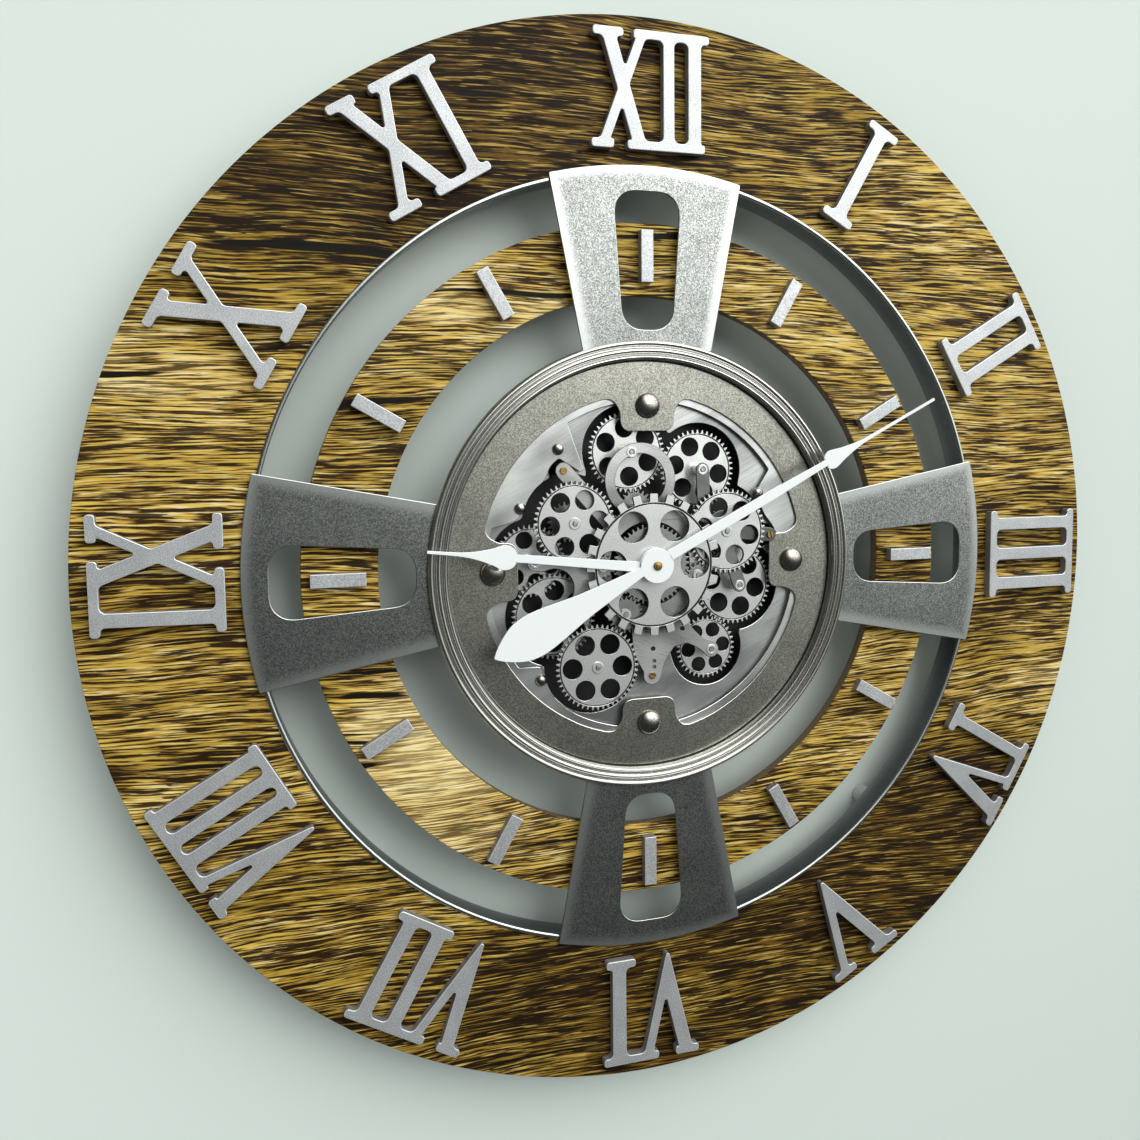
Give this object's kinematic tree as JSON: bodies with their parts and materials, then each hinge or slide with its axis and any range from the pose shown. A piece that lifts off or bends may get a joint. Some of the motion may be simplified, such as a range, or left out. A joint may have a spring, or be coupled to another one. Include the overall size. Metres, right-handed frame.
{
  "type": "gear wall clock",
  "caption": "Large round wall clock with Roman numerals on a wooden ring and an open, turning gear train in a beaded centre.",
  "frame": {"origin": "on the dial's axis, in the plane of the wall", "axes": "+X to the right of the dial, +Z to the twelve, +Y into the wall; the dial faces -Y"},
  "size_m": [0.8, 0.0646, 0.8],
  "materials": {
    "wood": "printed rustic wood grain, satin",
    "numeral_silver": "satin silver paint with fine sparkle",
    "pewter": "antique pewter with worn bright edges",
    "hoop_steel": "dark satin steel, bright lip",
    "bezel_metal": "polished pewter beads",
    "plate_steel": "brushed",
    "gear_nickel": "bright nickel, fine brushing",
    "pit_black": "matte black",
    "rivet_metal": "polished antique domes",
    "hand_white": "gloss white",
    "brass": "polished",
    "black_plastic": "matte moulded",
    "hanger_steel": "plain zinc",
    "foot_rubber": "matte"
  },
  "bodies": {
    "clock_body": {"outer_dial_ring": "wood", "inner_dial_ring": "wood", "numeral_01": "numeral_silver", "numeral_02": "numeral_silver", "numeral_03": "numeral_silver", "numeral_04": "numeral_silver", "numeral_05": "numeral_silver", "numeral_06": "numeral_silver", "numeral_07": "numeral_silver", "numeral_08": "numeral_silver", "numeral_09": "numeral_silver", "numeral_10": "numeral_silver", "numeral_11": "numeral_silver", "numeral_12": "numeral_silver", "rim_hoop": "hoop_steel", "bridge_12": "pewter", "bridge_3": "pewter", "bridge_6": "pewter", "bridge_9": "pewter", "lug_ring": "pewter", "bezel_ring": "bezel_metal", "centre_pan": "pit_black", "middle_plate": "plate_steel", "lower_plate": "plate_steel", "centre_bridge": "plate_steel", "right_bridge": "plate_steel", "lower_bridge": "plate_steel", "rivet_12": "rivet_metal", "rivet_3": "rivet_metal", "rivet_6": "rivet_metal", "rivet_9": "rivet_metal", "quartz_movement": "black_plastic", "gear_motor": "black_plastic", "battery_box": "black_plastic", "wall_hanger": "hanger_steel", "spacer_left": "foot_rubber", "spacer_right": "foot_rubber"},
    "centre_train_wheel": {"centre_wheel": "gear_nickel", "crown_wheel": "gear_nickel"},
    "right_idler": {"right_idler": "gear_nickel"},
    "left_idler": {"left_idler": "gear_nickel"},
    "lower_idler": {"lower_idler": "gear_nickel"},
    "west_idler": {"west_idler": "gear_nickel"},
    "upper_idler": {"upper_idler": "gear_nickel"},
    "right_wheel": {"right_wheel": "gear_nickel"},
    "upper_left_wheel": {"upper_left_wheel": "gear_nickel"},
    "lower_left_wheel": {"lower_left_wheel": "gear_nickel"},
    "left_wheel": {"left_wheel": "gear_nickel"},
    "top_wheel": {"top_wheel": "gear_nickel"},
    "upper_right_wheel": {"upper_right_wheel": "gear_nickel"},
    "far_right_wheel": {"far_right_wheel": "gear_nickel"},
    "lower_right_wheel": {"lower_right_wheel": "gear_nickel"},
    "far_left_wheel": {"far_left_wheel": "gear_nickel"},
    "minute_hand": {"minute_hand": "hand_white", "hand_nut": "brass"},
    "hour_hand": {"hour_hand": "hand_white"},
    "setting_knob": {"setting_knob": "black_plastic"}
  },
  "joints": [
    {"name": "centre_wheel_turn", "type": "hinge", "parent": "clock_body", "child": "centre_train_wheel", "pos_m": [0, 0, 0.002], "axis": [0, 1, 0], "continuous": true},
    {"name": "right_idler_turn", "type": "hinge", "parent": "clock_body", "child": "right_idler", "pos_m": [0.03733, 0, -0.008], "axis": [0, 1, 0], "continuous": true},
    {"name": "left_idler_turn", "type": "hinge", "parent": "clock_body", "child": "left_idler", "pos_m": [-0.03864, 0, 0.00166], "axis": [0, 1, 0], "continuous": true},
    {"name": "lower_idler_turn", "type": "hinge", "parent": "clock_body", "child": "lower_idler", "pos_m": [-0.02135, 0, -0.03483], "axis": [0, 1, 0], "continuous": true},
    {"name": "west_idler_turn", "type": "hinge", "parent": "clock_body", "child": "west_idler", "pos_m": [-0.03554, 0, -0.01626], "axis": [0, 1, 0], "continuous": true},
    {"name": "upper_idler_turn", "type": "hinge", "parent": "clock_body", "child": "upper_idler", "pos_m": [-0.0071, 0, 0.04398], "axis": [0, 1, 0], "continuous": true},
    {"name": "right_wheel_turn", "type": "hinge", "parent": "clock_body", "child": "right_wheel", "pos_m": [0.06131, 0, 0.02477], "axis": [0, 1, 0], "continuous": true},
    {"name": "upper_left_wheel_turn", "type": "hinge", "parent": "clock_body", "child": "upper_left_wheel", "pos_m": [-0.06028, 0, 0.03447], "axis": [0, 1, 0], "continuous": true},
    {"name": "lower_left_wheel_turn", "type": "hinge", "parent": "clock_body", "child": "lower_left_wheel", "pos_m": [-0.04369, 0, -0.07337], "axis": [0, 1, 0], "continuous": true},
    {"name": "left_wheel_turn", "type": "hinge", "parent": "clock_body", "child": "left_wheel", "pos_m": [-0.07282, 0, -0.03542], "axis": [0, 1, 0], "continuous": true},
    {"name": "top_wheel_turn", "type": "hinge", "parent": "clock_body", "child": "top_wheel", "pos_m": [-0.0142, 0, 0.08596], "axis": [0, 1, 0], "continuous": true},
    {"name": "upper_right_wheel_turn", "type": "hinge", "parent": "clock_body", "child": "upper_right_wheel", "pos_m": [0.0431, 0, 0.0721], "axis": [0, 1, 0], "continuous": true},
    {"name": "far_right_wheel_turn", "type": "hinge", "parent": "clock_body", "child": "far_right_wheel", "pos_m": [0.07419, 0, -0.01787], "axis": [0, 1, 0], "continuous": true},
    {"name": "lower_right_wheel_turn", "type": "hinge", "parent": "clock_body", "child": "lower_right_wheel", "pos_m": [0.05027, 0, -0.06669], "axis": [0, 1, 0], "continuous": true},
    {"name": "far_left_wheel_turn", "type": "hinge", "parent": "clock_body", "child": "far_left_wheel", "pos_m": [-0.08954, 0, 0.00631], "axis": [0, 1, 0], "continuous": true},
    {"name": "minute_hand_turn", "type": "hinge", "parent": "clock_body", "child": "minute_hand", "pos_m": [0, 0, 0.002], "axis": [0, 1, 0], "continuous": true},
    {"name": "hour_hand_turn", "type": "hinge", "parent": "clock_body", "child": "hour_hand", "pos_m": [0, 0, 0.002], "axis": [0, 1, 0], "continuous": true},
    {"name": "setting_knob_turn", "type": "hinge", "parent": "clock_body", "child": "setting_knob", "pos_m": [0.0123, 0, 0.002], "axis": [0, 1, 0], "continuous": true}
  ],
  "couplings": [
    {"joint": "right_idler_turn", "follows": "centre_wheel_turn", "ratio": -3.2143},
    {"joint": "left_idler_turn", "follows": "centre_wheel_turn", "ratio": -3.2143},
    {"joint": "lower_idler_turn", "follows": "centre_wheel_turn", "ratio": -2.25},
    {"joint": "west_idler_turn", "follows": "centre_wheel_turn", "ratio": -2.8125},
    {"joint": "upper_idler_turn", "follows": "centre_wheel_turn", "ratio": -2.25},
    {"joint": "right_wheel_turn", "follows": "centre_wheel_turn", "ratio": 0.9375},
    {"joint": "upper_left_wheel_turn", "follows": "centre_wheel_turn", "ratio": 0.97826},
    {"joint": "lower_left_wheel_turn", "follows": "centre_wheel_turn", "ratio": 0.9375},
    {"joint": "left_wheel_turn", "follows": "centre_wheel_turn", "ratio": 0.9375},
    {"joint": "top_wheel_turn", "follows": "centre_wheel_turn", "ratio": 1},
    {"joint": "upper_right_wheel_turn", "follows": "centre_wheel_turn", "ratio": -1},
    {"joint": "far_right_wheel_turn", "follows": "centre_wheel_turn", "ratio": -0.41888},
    {"joint": "lower_right_wheel_turn", "follows": "centre_wheel_turn", "ratio": 0.54688},
    {"joint": "far_left_wheel_turn", "follows": "centre_wheel_turn", "ratio": -0.53804},
    {"joint": "hour_hand_turn", "follows": "minute_hand_turn", "ratio": 0.083333},
    {"joint": "setting_knob_turn", "follows": "minute_hand_turn", "ratio": -1}
  ]
}
